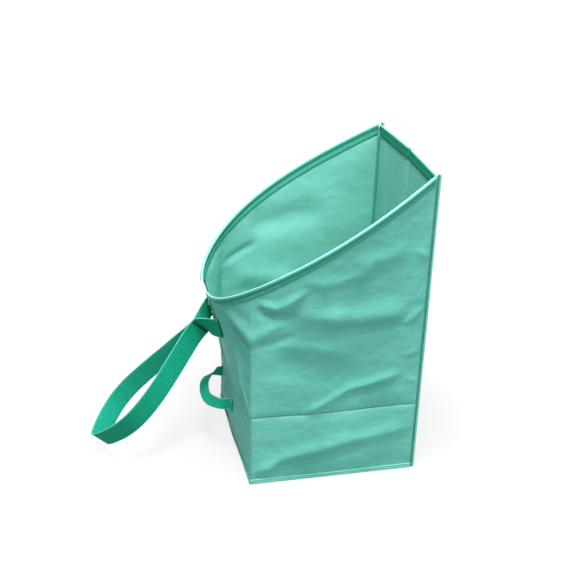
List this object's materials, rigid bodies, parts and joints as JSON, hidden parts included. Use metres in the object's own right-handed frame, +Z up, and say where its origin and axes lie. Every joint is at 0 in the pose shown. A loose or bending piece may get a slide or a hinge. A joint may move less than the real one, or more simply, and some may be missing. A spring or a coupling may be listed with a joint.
{
  "type": "dustpan leaf bag",
  "caption": "Free-standing garden waste bag with a tall straight scoop lip at the back, a sprung hoop round its sloping mouth, a long carrying strap and a small tipping handle at the front",
  "frame": {"origin": "centre of the base's underside, on the ground that the bag stands on", "axes": "+X toward the tall scoop wall, +Y toward the bag's left side, +Z up"},
  "size_m": [0.7673, 0.4998, 0.755],
  "materials": {
    "woven_fabric": "light green coated woven cloth, faintly glossy, fine tape weave",
    "rim_fabric": "pale green coated cloth drawn tight over the hoop",
    "binding_fabric": "pale green binding cloth with running stitches",
    "webbing": "mid green ribbed webbing",
    "glass_fibre": "bare white glass-fibre rod and moulded end caps",
    "dark_thread": "dark green sewing thread"
  },
  "bodies": {
    "bag": {"side_panel_right": "woven_fabric", "side_panel_left": "woven_fabric", "front_panel": "woven_fabric", "scoop_panel": "woven_fabric", "base_panel": "woven_fabric", "hoop_rod": "glass_fibre", "hoop_sleeve_right": "rim_fabric", "hoop_sleeve_left": "rim_fabric", "hoop_cap_right": "glass_fibre", "hoop_cap_left": "glass_fibre", "back_seam_right": "binding_fabric", "back_seam_left": "binding_fabric", "lip_band": "webbing", "base_binding_right": "binding_fabric", "base_binding_left": "binding_fabric", "base_binding_front": "binding_fabric", "base_binding_back": "binding_fabric", "strap_patch_right": "webbing", "strap_patch_left": "webbing", "strap_strand_right": "webbing", "strap_strand_left": "webbing", "throat_tack_right": "dark_thread", "throat_tack_left": "dark_thread", "tape_patch_right": "webbing", "tape_patch_left": "webbing"},
    "hand_loop": {"hand_loop": "webbing"},
    "tipping_handle": {"tape_loop": "webbing"}
  },
  "joints": [
    {"name": "carry_swing", "type": "hinge", "parent": "bag", "child": "hand_loop", "pos_m": [-0.28896, 0, 0.3252], "axis": [0, 1, 0], "range_deg": [-3, 115]},
    {"name": "tipping_swing", "type": "hinge", "parent": "bag", "child": "tipping_handle", "pos_m": [-0.22332, 0.027, 0.137], "axis": [0.0446, 0.999, 0], "range_deg": [-60, 60]}
  ]
}
